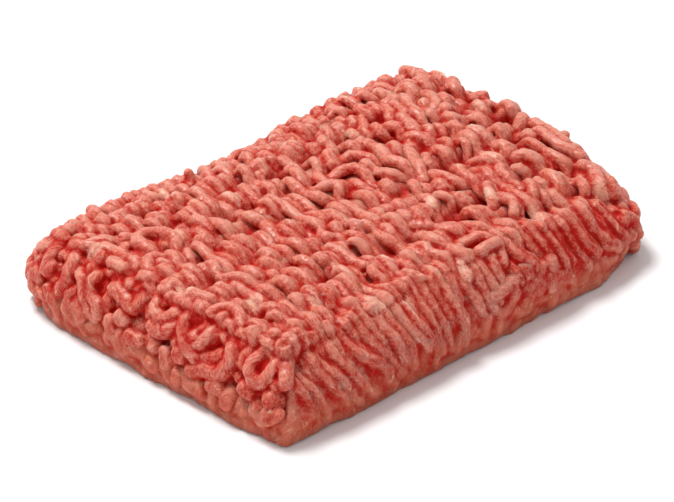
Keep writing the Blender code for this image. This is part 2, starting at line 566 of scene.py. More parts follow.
def cobble(side, y, z, radius, depth, kind):
    # a short thick piece that was pressed flat against the end
    half = random.uniform(0.4, 2.6)
    tilt = random.uniform(-0.5, 1.3) * pi / 2
    dy, dz = cos(tilt) * half, sin(tilt) * half
    low = max(z - dz, radius + 0.4)
    bow = random.uniform(0, 0.6)
    path = [
        endPoint(side, y - dy, low, depth + bow),
        endPoint(side, y, z, depth),
        endPoint(side, y + dy, z + dz, depth + bow),
    ]
    return makeStrand(curveThrough(path), radius, kind, ends=0.05, hold=0.05, press=1.1)


def endStrands(side):
    strands = []
    kind = kinds["leftEnd" if side < 0 else "rightEnd"]
    plan = ends[side]
    width = 2 * halfWidth - 18
    for number in range(plan["over"]):
        y = -width / 2 + (number + random.uniform(0.2, 0.8)) * width / plan["over"]
        strands.append(overStrand(side, y, ends["radius"] * random.uniform(0.9, 1.1), kind))
    for number in range(plan["hooks"]):
        y = -width / 2 + (number + random.uniform(0.1, 0.9)) * width / plan["hooks"]
        z = random.uniform(ends["lowest"] + 3, slabHeight * 0.72)
        radius = ends["radius"] * random.uniform(0.9, 1.1)
        path = curlPath(side, y, z, random.uniform(0, 2 * pi), random.uniform(20, 30), 0.5, radius)
        strands.append(makeStrand(path, radius, kind, ends=0.03))
    for z, deep in zip(plan["rows"], plan["deep"]):
        count = int((2 * halfWidth - 9) / ends["cobblePitch"])
        for number in range(count):
            y = -halfWidth + 5 + (number + random.uniform(0.1, 0.9)) * (2 * halfWidth - 10) / count
            radius = ends["cobbleRadius"] * random.uniform(0.75, 1.15)
            height = z + random.uniform(-1.6, 1.6)
            strands.append(cobble(side, y, height, radius, radius + deep + random.uniform(-0.6, 0.8), kind))
    return strands


# loose strands that lie over the others, by x and y
strays = {
    "radius": 2.0,
    "lift": 0.2,
    "paths": (
        ((-59, 9), (-60, 15), (-58, 21), (-54, 21), (-52, 15), (-53, 8)),
        ((-73, 33), (-70, 29), (-65, 26), (-61, 24)),
        ((53, 28), (46, 24), (43, 17), (43, 11)),
        ((54, 25), (54, 20), (49, 14), (44, 11)),
        ((29, 19), (32, 26), (38, 26), (38, 19), (35, 12)),
        ((42, 27), (39, 18), (38, 10), (38, 6)),
        ((10, 14), (16, 13), (18, 7), (16, 1)),
        ((3, 10), (9, 9), (12, 4), (9, -4)),
        ((29, 7), (28, 0), (25, -6), (23, -11)),
        ((6, -49), (12, -49), (15, -52), (13, -55)),
        ((5, -42), (2, -47), (0, -52)),
        ((7, -40), (12, -43), (14, -47), (9, -49)),
        ((25, -9), (26, -15), (28, -20), (34, -22)),
        ((-59, 7), (-62, 11), (-66, 9), (-66, 4), (-67, 0)),
        ((-62, 24), (-69, 19), (-68, 12), (-63, 14)),
        ((-68, -22), (-64, -25), (-65, -31), (-70, -34)),
        ((-69, -3), (-71, -9), (-70, -15), (-66, -13)),
        ((-8, 38), (-6, 42), (0, 43), (5, 40)),
        ((72, -34), (74, -39), (73, -44), (71, -47)),
    ),
}


def strayStrands():
    strands = []
    for path in strays["paths"]:
        places = np.array(path, float)
        radius = strays["radius"] * random.uniform(0.9, 1.1)
        u = np.clip(places[:, 0] / halfLength, -0.93, 0.93)
        v = np.clip(places[:, 1] / halfWidth, -0.93, 0.93)
        z = topHeight(u, v) - radius + strays["lift"]
        z[0] -= 2.0
        z[-1] -= 2.5
        path = curveThrough(np.c_[places, z])
        strands.append(makeStrand(path, radius, kinds["stray"], ends=0.05, hold=0.05))
    return strands


# places where the strands leave a hollow, painted redder and darker inside as shade: on the top by x and y,
# on the near side by x and z, on the left end by y and z, each with its radius
hollows = {
    "reach": 2.6,
    "top": (
        (49, 20, 1.2), (35, 21, 0.9), (45, 2, 0.8), (41, -5, 0.8), (62, -18, 1.0), (68, -44, 0.9),
        (9, 6, 0.9), (9, -13, 0.9), (-2, 41, 1.1), (3, 36, 0.8), (3, 1, 0.9), (-21, -38, 0.6),
        (-39, -46, 0.6), (-31, -43, 0.6), (-46, -52, 0.8), (-49, -44, 0.8), (11, -45, 1.0),
        (8, -53, 0.9), (24, 2, 0.8),
    ),
    "near": ((28, 19, 0.9), (37, 17, 1.1), (46, 19, 1.0), (54, 16, 0.9), (61, 18, 1.0), (68, 16, 0.9)),
    "end": (
        (49, 17, 1.3), (34, 17, 1.7), (18, 19, 1.8), (10, 25, 1.1), (-17, 21, 1.7), (-26, 19, 1.5),
        (-43, 19, 1.4),
    ),
}


def hollowCentres():
    centres = []
    for x, y, radius in hollows["top"]:
        centres.append((x, y, float(topHeight(x / halfLength, y / halfWidth)) - 1.5, radius))
    for x, z, radius in hollows["near"]:
        v = sideInset(z / float(topHeight(x / halfLength, -1)), "near") / halfWidth - 1
        centres.append((x, float(planPoint(x / halfLength, v)[1]) + 1.0, z, radius))
    for y, z, radius in hollows["end"]:
        centres.append((*endPoint(-1, y, z, 1.0), radius))
    return np.array(centres)


def redAt(points):
    # how much redder and darker a place is painted than the rest: 1 in a hollow, as painted shade, 0 well
    # away from it
    share = np.zeros(len(points))
    for x, y, z, radius in hollowCentres():
        distance = np.linalg.norm(points - (x, y, z), axis=1)
        share = np.maximum(share, smoothStep(distance / radius / hollows["reach"], 1.5, 0.6))
    # the upper left end and the upper right part of the near side are redder altogether
    x, y, z = points.T
    leftEnd = 0.65 * smoothStep(-x, 64, 71) * smoothStep(z, 11, 17)
    nearRight = 1.3 * smoothStep(-y, 43, 49) * smoothStep(x, 6, 18) * smoothStep(x, 72, 58)
    nearRight *= smoothStep(z, 8, 14)
    nearRight *= smoothStep(z, 25, 21)
    return np.maximum.reduce([share, leftEnd, nearRight])


# patches of fat on the strands, by x and y
fatPatches = {
    "reach": 2.6,
    "places": (
        (55, -34), (29, -31), (1, 19), (-36, 36), (0, -50), (-22, -51), (-37, 2), (45, -15), (63, 8),
        (24, 22), (-66, -8), (-56, -26), (-14, -34), (14, -22), (38, 40), (-50, 14), (60, -46),
        (-31, -47), (-8, -14), (70, 30), (-70, 26), (48, 30), (8, 33), (-24, 20), (33, -44), (-44, -38),
    ),
}


def fatAt(points):
    # 1 at a patch of fat, 0 away from it
    share = np.zeros(len(points))
    for x, y in fatPatches["places"]:
        reach = fatPatches["reach"] * (0.75 + 0.5 * abs(sin(x * 3.1 + y)))
        distance = np.hypot((points[:, 0] - x) * 1.15, (points[:, 1] - y) * 0.8)
        share = np.maximum(share, smoothStep(distance / reach, 1.3, 0.4))
    return share * smoothStep(points[:, 2], 12, 18)


# short bits pressed into the lower sides, which show as cobbles
bits = {
    "pitch": 5.4,
    "low": 2.5,
    "high": 11.0,
    "highRight": 19.0,  # on a stretch of the near side
    "rightStretch": (12, 40),
    "radius": 2.3,
}


def sidePoint(turn, z, depth):
    # a point on the side, at a share "turn" of the way round, "depth" inside the outline
    perimeter = 4 * (halfLength + halfWidth)
    place = turn % 1.0 * perimeter
    if place < 2 * halfLength:
        u, v, side = place / halfLength - 1, -1.0, "near"
    elif place < 2 * (halfLength + halfWidth):
        u, v, side = 1.0, (place - 2 * halfLength) / halfWidth - 1, "right"
    elif place < 4 * halfLength + 2 * halfWidth:
        u, v, side = 1 - (place - 2 * halfLength - 2 * halfWidth) / halfLength, 1.0, "far"
    else:
        u, v, side = -1.0, 1 - (place - 4 * halfLength - 2 * halfWidth) / halfWidth, "left"
    x, y = planPoint(u, v)
    inset = float(sideInset(z / float(topHeight(u, v)), side)) + depth
    return np.array([float(x) * (1 - inset / halfLength), float(y) * (1 - inset / halfWidth), z])


def pressedBits():
    strands = []
    perimeter = 4 * (halfLength + halfWidth)
    z = bits["low"]
    while z < bits["highRight"]:
        count = int(perimeter / bits["pitch"])
        for number in range(count):
            turn = (number + random.uniform(-0.35, 0.35)) / count
            height = z + random.uniform(-1.3, 1.3)
            alongNear = turn % 1.0 * perimeter - halfLength
            onStretch = bits["rightStretch"][0] < alongNear < bits["rightStretch"][1]
            if z > bits["high"] and not onStretch or -halfLength < alongNear < 0:
                continue
            radius = bits["radius"] * random.uniform(0.8, 1.2)
            proud = -0.6 + 1.5 * float(smoothStep(height, 2, 10))
            depth = radius - proud + 0.5 + random.uniform(-0.3, 0.3)
            half = random.uniform(0.8, 3.4)
            tilt = random.uniform(0, pi)
            dTurn, dz = cos(tilt) * half / perimeter, sin(tilt) * half
            path = [
                sidePoint(turn - dTurn, max(height - dz, 1.0), depth),
                sidePoint(turn, height, depth - 0.2),
                sidePoint(turn + dTurn, max(height + dz, 1.0), depth),
            ]
            strands.append(makeStrand(path, radius, kinds["bit"]))
        z += bits["pitch"] * 0.8
    return strands


settling = {
    "rounds": 90,
    "searchEvery": 6,
    "limitEvery": 5,
    "touch": 0.86,  # how near two strands may come, as a share of their radii
    "apart": 5,  # points of one strand that are nearer along it than this don't push each other
    "push": 1.3,
    "stretch": 0.25,
    "bend": 0.35,
    "hollow": 0.4,
}


def closePairs(points, reach):
    # all pairs of points nearer than "reach", found through a grid of cells
    cell = np.floor(points / reach).astype(np.int64)
    cell -= cell.min(axis=0) - 1
    size = cell.max(axis=0) + 2
    key = (cell[:, 0] * size[1] + cell[:, 1]) * size[2] + cell[:, 2]
    order = np.argsort(key, kind="stable")
    sortedKey = key[order]
    found = []
    for dx, dy, dz in np.ndindex(3, 3, 3):
        offset = ((dx - 1) * size[1] + dy - 1) * size[2] + dz - 1
        if offset < 0:
            continue
        first = np.searchsorted(sortedKey, key + offset, "left")
        count = np.searchsorted(sortedKey, key + offset, "right") - first
        a = np.repeat(np.arange(len(points)), count)
        within = np.arange(count.sum()) - np.repeat(np.cumsum(count) - count, count)
        b = order[np.repeat(first, count) + within]
        keep = (a < b) if offset == 0 else (a != b)
        a, b = a[keep], b[keep]
        near = ((points[a] - points[b]) ** 2).sum(axis=1) < reach**2
        found.append(np.c_[a[near], b[near]])
    return np.vstack(found)


def keptInside(place, radius, press):
    # no strand stands out past the outline of the slab
    u, v = sharesOf(place)
    place[:, 2] = np.minimum(place[:, 2], topHeight(u * 0.97, v * 0.97) - radius + 1.0)
    place[:, 2] = np.clip(place[:, 2], radius, slabHeight - radius - 0.25)
    lowX, highX, lowY, highY = limits(place)
    room = radius - press
    place[:, 0] = np.clip(place[:, 0], lowX + room, highX - room)
    place[:, 1] = np.clip(place[:, 1], lowY + room, highY - room)
    return place


def settle(strands):
    # strands push each other aside, keep their length and bend, and stay near their place
    start = np.cumsum([0] + [len(s["path"]) for s in strands])
    place = np.vstack([s["path"] for s in strands])
    radius = np.concatenate([s["radius"] for s in strands])
    press = np.concatenate([np.full(len(s["path"]), s["press"]) for s in strands])
    hold = np.concatenate([s["hold"] for s in strands])[:, None]
    owner = np.repeat(np.arange(len(strands)), np.diff(start))
    index = np.arange(len(place))
    home = place.copy()
    centres = hollowCentres()
    inner = np.ones(len(place), bool)
    inner[start[:-1]] = False
    inner[start[1:] - 1] = False
    middle = index[inner]
    first = index[np.r_[owner[:-1] == owner[1:], False]]
    restLength = np.linalg.norm(place[first + 1] - place[first], axis=1)[:, None]
    restBend = place[middle] - (place[middle - 1] + place[middle + 1]) / 2
    reach = 2 * radius.max() + 1.0
    n = len(place)
    for turn in range(settling["rounds"]):
        if turn % settling["searchEvery"] == 0:
            pairs = closePairs(place, reach)
            a, b = pairs[:, 0], pairs[:, 1]
            keep = (owner[a] != owner[b]) | (abs(a - b) > settling["apart"])
            a, b = a[keep], b[keep]
        gap = place[a] - place[b]
        distance = np.linalg.norm(gap, axis=1)
        overlap = (radius[a] + radius[b]) * settling["touch"] - distance
        hit = overlap > 0
        push = gap[hit] / (distance[hit, None] + 1e-9) * overlap[hit, None] * 0.5
        shift = np.zeros((n, 3))
        count = np.zeros(n)
        for axis in range(3):
            shift[:, axis] += np.bincount(a[hit], push[:, axis], n) - np.bincount(b[hit], push[:, axis], n)
        count += np.bincount(a[hit], minlength=n) + np.bincount(b[hit], minlength=n)
        place += shift / np.maximum(count, 1)[:, None] * settling["push"]
        stretch = place[first + 1] - place[first]
        length = np.linalg.norm(stretch, axis=1)[:, None]
        fix = stretch * (1 - restLength / length) * settling["stretch"]
        place[first] += fix
        place[first + 1] -= fix
        bend = (place[middle - 1] + place[middle + 1]) / 2 + restBend - place[middle]
        place[middle] += settling["bend"] * bend
        place += (home - place) * hold
        for x, y, z, size in centres:
            offset = place - (x, y, z)
            distance = np.linalg.norm(offset, axis=1)
            hit = distance < size + radius
            away = (size + radius[hit]) / distance[hit] - 1
            place[hit] += offset[hit] * away[:, None] * settling["hollow"]
        if (turn + 1) % settling["limitEvery"] == 0:
            place = keptInside(place, radius, press)
    for k, s in enumerate(strands):
        s["path"] = place[start[k] : start[k + 1]]
    return strands


def tube(path, radius, sides):
    # a closed tube with round ends: points and faces
    tangent = np.gradient(path, axis=0)
    tangent /= np.linalg.norm(tangent, axis=1)[:, None]
    across = np.cross(tangent[0], (0.3, 0.2, 0.93))
    centres, radii, axes = [], [], []
    cap = [(-0.95, 0.25), (-0.7, 0.71), (-0.35, 0.94)]
    for out, share in cap:
        centres.append(path[0] + tangent[0] * out * radius[0])
        radii.append(radius[0] * share)
        axes.append(tangent[0])
    centres += list(path)
    radii += list(radius)
    axes += list(tangent)
    for out, share in cap[::-1]:
        centres.append(path[-1] - tangent[-1] * out * radius[-1])
        radii.append(radius[-1] * share)
        axes.append(tangent[-1])
    rings = []
    turn = np.linspace(0, 2 * pi, sides, endpoint=False)
    for centre, size, axis in zip(centres, radii, axes):
        across = across - axis * (across @ axis)
        across /= np.linalg.norm(across)
        other = np.cross(axis, across)
        rings.append(centre + size * (np.cos(turn)[:, None] * across + np.sin(turn)[:, None] * other))
    tips = [centres[0] - axes[0] * radii[0] * 0.2, centres[-1] + axes[-1] * radii[-1] * 0.2]
    points = np.vstack(rings + [np.array(tips)])
    count = len(rings)
    ring = np.arange(sides)
    following = (ring + 1) % sides
    band = np.c_[ring, following, following + sides, ring + sides]
    quads = np.vstack([band + k * sides for k in range(count - 1)])
    last = (count - 1) * sides
    caps = [(count * sides, following[j], ring[j]) for j in range(sides)]
    caps += [(count * sides + 1, last + ring[j], last + following[j]) for j in range(sides)]
    return points, quads, np.array(caps)


def meshFrom(name, points, quads, tris):
    mesh = bpy.data.meshes.new(name)
    mesh.vertices.add(len(points))
    mesh.vertices.foreach_set("co", (np.asarray(points) * mm).astype(np.float32).ravel())
    corners = np.concatenate([np.asarray(quads).ravel(), np.asarray(tris).ravel()]).astype(np.int32)
    mesh.loops.add(len(corners))
    mesh.loops.foreach_set("vertex_index", corners)
    starts = np.r_[np.arange(len(quads)) * 4, len(quads) * 4 + np.arange(len(tris)) * 3].astype(np.int32)
    mesh.polygons.add(len(starts))
    mesh.polygons.foreach_set("loop_start", starts)
    mesh.update(calc_edges=True)
    return mesh


def joined(parts):
    # many parts as one set of points and faces
    base = 0
    points, quads, tris = [], [], []
    for p, q, t in parts:
        points.append(p)
        quads.append(np.asarray(q).reshape(-1, 4) + base)
        tris.append(np.asarray(t).reshape(-1, 3) + base)
        base += len(p)
    return np.vstack(points), np.vstack(quads), np.vstack(tris)


def modified(mesh, kind, hidden=None, **settings):
    # the mesh as one modifier leaves it
    piece = bpy.data.objects.new(mesh.name + "Source", mesh)
    bpy.context.scene.collection.objects.link(piece)
    if hidden is not None:
        group = piece.vertex_groups.new(name="hidden")
        group.add([int(k) for k in np.flatnonzero(hidden)], 1.0, "REPLACE")
    modifier = piece.modifiers.new("modifier", kind)
    for setting, value in settings.items():
        setattr(modifier, setting, value)
    seen = piece.evaluated_get(bpy.context.evaluated_depsgraph_get())
    result = bpy.data.meshes.new_from_object(seen)
    bpy.data.objects.remove(piece)
    bpy.data.meshes.remove(mesh)
    return result


def fused(name, parts, voxel):
    # one skin over overlapping closed parts
    mesh = meshFrom(name + "Parts", *joined(parts))
    mesh = modified(mesh, "REMESH", mode="VOXEL", voxel_size=voxel * mm, adaptivity=0)
    mesh.name = name
    return mesh


def thinned(mesh, hidden, ratio):
    # fewer triangles where nothing shows, all of them kept elsewhere
    settings = {"ratio": ratio, "vertex_group": "hidden", "vertex_group_factor": 1000}
    return modified(mesh, "DECIMATE", hidden, **settings)


def squeezed(points):
    # what stands out past the lower sides is pressed flat
    u, v = sharesOf(points)
    soft = smoothStep(points[:, 2] / topHeight(u, v), 0.80, 0.55) * 0.8
    lowX, highX, lowY, highY = limits(points)
    for axis, low, high in ((0, lowX, highX), (1, lowY, highY)):
        value = points[:, axis]
        value = value + soft * np.maximum(low - value, 0) - soft * np.maximum(value - high, 0)
        points[:, axis] = value
    return points


def rowsOf(items, name, width, kind=np.float32):
    flat = np.empty(len(items) * width, kind)
    items.foreach_get(name, flat)
    return flat.reshape(-1, width)


def pointsOf(mesh):
    return rowsOf(mesh.vertices, "co", 3).astype(float) / mm


def setPoints(mesh, points):
    mesh.vertices.foreach_set("co", (points * mm).astype(np.float32).ravel())
    mesh.update()


def normalsOf(mesh):
    return rowsOf(mesh.vertices, "normal", 3).astype(float)


def relaxed(points, edges, rounds, weight=1.0):
    # each point moves halfway to the middle of its neighbours, or less where the weight is low
    n = len(points)
    a, b = edges[:, 0], edges[:, 1]
    count = np.bincount(a, minlength=n) + np.bincount(b, minlength=n)
    points = points.copy()
    factor = np.reshape(0.5 * weight, (-1, 1))
    for _ in range(rounds):
        total = np.empty_like(points)
        for axis in range(3):
            total[:, axis] = np.bincount(a, points[b, axis], n) + np.bincount(b, points[a, axis], n)
        points += (total / count[:, None] - points) * factor
    return points


def strandTree(strands):
    # what finds the strand nearest to a place, and how far along it the place is
    places = np.vstack([s["path"] for s in strands])
    tree = kdtree.KDTree(len(places))
    for k, place in enumerate(places):
        tree.insert(place, k)
    tree.balance()
    owner = np.repeat(np.arange(len(strands)), [len(s["path"]) for s in strands])
    along = np.concatenate([np.arange(len(s["path"])) for s in strands]) * pleats["step"]
    tangent = np.vstack([np.gradient(s["path"], axis=0) for s in strands])
    tangent /= np.linalg.norm(tangent, axis=1)[:, None]
    return tree, places, owner, along, tangent


def addAttribute(mesh, name, values):
    values = np.asarray(values, np.float32)
    kind, field = ("FLOAT", "value") if values.ndim == 1 else ("FLOAT_VECTOR", "vector")
    layer = mesh.attributes.new(name, kind, "POINT")
    layer.data.foreach_set(field, values.ravel())


skin = {
    "lumpSize": 2.8,
    "lumpHeight": 0.22,
    # the depth at which a crease, a hollow and a buried place count in full
    "creaseDepth": 0.2,
    "hollowDepth": 0.8,
    "buriedDepth": 10.0,
    "grainStretch": 0.8,
}


def finishSkin(mesh, strands, smoothRounds):
    # smooths the skin, gives it lumps, and stores what the material reads
    points = pointsOf(mesh)
    edges = rowsOf(mesh.edges, "vertices", 2, np.int32)
    lowWeight = 0.35 + 0.65 * (1 - smoothStep(points[:, 2], 6, 15))
    points = relaxed(points, edges, smoothRounds, lowWeight)
    setPoints(mesh, points)
    normals = normalsOf(mesh)
    points = squeezed(points)
    size = skin["lumpSize"]
    lumps = smoothNoise(points, size, 21) + 0.7 * smoothNoise(points, size / 2.1, 22)
    lumps += 0.3 * smoothNoise(points, size / 4, 23)
    points += normals * (lumps * skin["lumpHeight"])[:, None]
    points = np.clip(points, boxLow + 0.02, boxHigh - 0.02)
    setPoints(mesh, points)
    # how deep a point lies in a crease, and in a hollow between strands
    normals = normalsOf(mesh)
    near = relaxed(points, edges, 7)
    broad = relaxed(near, edges, 40)
    crease = np.clip(((near - points) * normals).sum(axis=1) / skin["creaseDepth"], -1, 1)
    hollow = np.clip(((broad - points) * normals).sum(axis=1) / skin["hollowDepth"], -1, 1)
    tree, places, owner, along, tangent = strandTree(strands)
    nearest = np.empty(len(points), np.int64)
    for k, point in enumerate(points):
        nearest[k] = tree.find(point)[1]
    tint = np.array([s["tint"] for s in strands])[owner[nearest]]
    # a place inside the strand: across it as it is, along it drawn out, and far from other strands
    offset = points - places[nearest]
    forward = (offset * tangent[nearest]).sum(axis=1)
    across = offset - forward[:, None] * tangent[nearest]
    drawn = (along[nearest] + forward) * skin["grainStretch"]
    grain = across + np.c_[owner[nearest] * 13.7, drawn, tint * 91.0]
    # crease, hollow, buried depth and upward facing drive painted light and shade in the material; foot a
    # painted contact shadow
    stored = {
        "crease": crease,
        "hollow": hollow,
        "buried": np.clip(buried(points) / skin["buriedDepth"], 0, 1),
        "facingShade": np.clip(normals[:, 2], -1, 1),
        "tint": tint,
        "fat": fatAt(points),
        "red": redAt(points) * (0.45 + 0.55 * smoothStep(hollow, -0.6, 0.4)),
        "pressed": smoothStep(points[:, 2], 15, 5),
        "foot": smoothStep(points[:, 2], 4.5, 0.5),
        "grain": grain,
    }
    for name, values in stored.items():
        addAttribute(mesh, name, values)


def addPiece(mesh, material):
    mesh.materials.clear()
    mesh.materials.append(material)
    mesh.shade_smooth()
    piece = bpy.data.objects.new(mesh.name, mesh)
    bpy.context.scene.collection.objects.link(piece)
    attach(piece, "root")
    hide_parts("mince_slab")
    return piece


core = {
    "columns": 100,
    "rows": 84,
    "rings": 22,
    "under": (0.3, 0.2),  # how far the top lies under the strands, tight half and loose half
    "depthShare": 0.65,  # of the pleats' own depth
    "strandRadius": 2.1,
    "shrink": 9.5,  # how far the top ends inside the outline
    "edgeDip": (3.4, 7),  # how far its edge hangs, and how sharply
    "skirt": (7.0, 19.0),
    "gap": 1.6,
    "endGap": 3.3,
    "baseWave": 1.7,  # how far the foot swings in and out
    "baseWaveSize": 9.0,
}


def coreTop(x, y):
    # the pleats once more, smooth and a little lower than the strands
    z = np.empty(len(x))
    flat = np.c_[x, y, np.zeros(len(x))]
    unswayed = y - pleats["warp"][2] * smoothNoise(flat, pleats["warp"][3], 42)
    for place in np.unique(np.round(x, 1)):
        here = np.abs(x - place) < 0.051
        crests = crestPlaces(place, 0)
        heights = [crestHeight(place, crest, core["strandRadius"]) for crest in crests]
        fronts = [byLooseness("front", place)] * len(crests)
        runs = np.diff([crests[0] - 10, *crests])
        depths = [reliefDepth(place, crest - 4, run) for crest, run in zip(crests, runs)]
        depths = [core["depthShare"] * depth for depth in depths]
        rows = np.array(pleatShape(crests, heights, fronts, depths))[::-1]
        z[here] = np.interp(unswayed[here], rows[:, 0], rows[:, 1])
    loose = looseness(x)
    z -= core["under"][0] * (1 - loose) + core["under"][1] * loose
    return z


def coreParts():
    # the pressed inside: full width at the skirt, set back under the strands
    columns, rows, rings = core["columns"], core["rows"], core["rings"]
    near = [(i, 0) for i in range(columns)]
    right = [(columns, j) for j in range(rows)]
    far = [(i, rows) for i in range(columns, 0, -1)]
    left = [(0, j) for j in range(rows, 0, -1)]
    edge = near + right + far + left
    grid = np.array([(i, j) for i in range(columns + 1) for j in range(rows + 1)], float)
    u, v = 2 * grid[:, 0] / columns - 1, 2 * grid[:, 1] / rows - 1
    x, y = planPoint(u, v)
    x, y = x * (1 - core["shrink"] / halfLength), y * (1 - core["shrink"] / halfWidth)
    dip, sharpness = core["edgeDip"]
    top = np.c_[x, y, coreTop(x, y) - dip * np.maximum(abs(u), abs(v)) ** sharpness]
    points = [top]
    firsts = [i * (rows + 1) + j for i in range(columns) for j in range(rows)]
    quads = [(a, a + rows + 1, a + rows + 2, a + 1) for a in firsts]
    edgeU = np.array([2 * i / columns - 1 for i, j in edge])
    edgeV = np.array([2 * j / rows - 1 for i, j in edge])
    edgeX, edgeY = planPoint(edgeU, edgeV)
    rim = np.array([top[i * (rows + 1) + j, 2] for i, j in edge])
    fullRim = topHeight(edgeU, edgeV)
    above = np.array([i * (rows + 1) + j for i, j in edge])
    base = len(top)
    count = len(edge)
    onEnd = abs(edgeU) > 0.999
    gap = np.where(onEnd, core["endGap"], core["gap"])
    sides = []
    for i, j in edge:
        onLong = "near" if j == 0 else "far"
        sides.append({0: "left", columns: "right"}.get(i, onLong))
    # the skirt reaches higher on a stretch of the near side, and less high at the ends
    higher = 6.0 * smoothStep(edgeX, 5, 25) - 4.5 * smoothStep(edgeX, 34, 46)
    rise = np.where(edgeV < -0.999, higher, 0.0) - 4.0 * onEnd
    rough = np.c_[edgeX, edgeY, np.zeros(count)]
    swing = core["baseWave"] * (0.5 + 0.5 * smoothNoise(rough, core["baseWaveSize"], 51))
    for ring in range(rings - 1, -1, -1):
        z = rim * ring / rings
        inset = np.array([float(sideInset(z[k] / fullRim[k], sides[k])) for k in range(count)])
        inset += 0.2 + 0.8 * smoothStep(z, 1.5, 5.0) + swing * (1 - smoothStep(z, 1.0, 8.0))
        inset += gap * smoothStep(z - rise, *core["skirt"])
        px = edgeX * (1 - inset / halfLength)
        py = edgeY * (1 - inset / halfWidth)
        points.append(np.c_[px, py, z])
        below = base + np.arange(count)
        following = (np.arange(count) + 1) % count
        quads += list(zip(above, below, below[following], above[following]))
        above = below
        base += count
    points.append(np.array([[0.0, 0.0, 0.0]]))
    tris = [(base, above[(k + 1) % count], above[k]) for k in range(count)]
    return np.vstack(points), np.array(quads), np.array(tris)


beef = {
    # from the tops of the strands down into the creases: pale tops partly painted light, deep red painted
    # shade
    # the pale colour of the tops: partly the meat's own film, partly a painted highlight
    "film": (0.74, 0.290, 0.210),
    "pink": (0.68, 0.170, 0.112),
    "lean": (0.565, 0.074, 0.045),
    # the darkest colour: painted shade, for the creases and for what lies buried under the surface
    "deep": (0.54, 0.006, 0.003),
    "stops": (0.05, 0.36, 0.72, 1.0),
    "fat": (0.88, 0.50, 0.37),
    "dried": (0.98, 0.93, 0.75),  # tints the pressed skirt
    # painted shade: a contact shadow that darkens the lowest few millimetres
    "foot": (0.70, 0.62, 0.55),  # tints the lowest few millimetres
    "pressed": 0.55,  # how far the skirt evens out to one tone
    "roughness": (0.38, 0.66),
    "wetness": (0.0, 0.9),
    "scatter": 1.3,
    "fixed": {
        "Coat Roughness": 0.22,
        "Coat IOR": 1.5,
        "Subsurface Weight": 1.0,
        "Subsurface Radius": (1.0, 0.20, 0.12),
        "Specular IOR Level": 0.15,
    },
}


def addNode(tree, kind, output, inputs, **settings):
    # inputs hold a value or another node's output for each socket, by its name or number
    node = tree.nodes.new("ShaderNode" + kind)
    for name, value in settings.items():
        setattr(node, name, value)
    for name, value in inputs.items():
        if isinstance(value, bpy.types.NodeSocket):
            tree.links.new(value, node.inputs[name])
        else:
            node.inputs[name].default_value = value
    return node.outputs[output]


def mapRange(tree, source, low, high, toLow=0.0, toHigh=1.0):
    inputs = {"Value": source, "From Min": low, "From Max": high, "To Min": toLow, "To Max": toHigh}
    return addNode(tree, "MapRange", "Result", inputs)


def mixColour(tree, factor, a, b, blend="MIX"):
    inputs = {"Factor": factor, "A": a, "B": (*b, 1)}
    return addNode(tree, "Mix", "Result", inputs, data_type="RGBA", blend_type=blend)


def noiseNode(tree, vector, scale, detail, rough=0.55, distortion=0.0):
    inputs = {"Vector": vector, "Scale": scale, "Detail": detail}
    inputs |= {"Roughness": rough, "Distortion": distortion}
    return addNode(tree, "TexNoise", "Fac", inputs)


def addMath(tree, operation, a, b):
    return addNode(tree, "Math", "Value", {0: a, 1: b}, operation=operation)


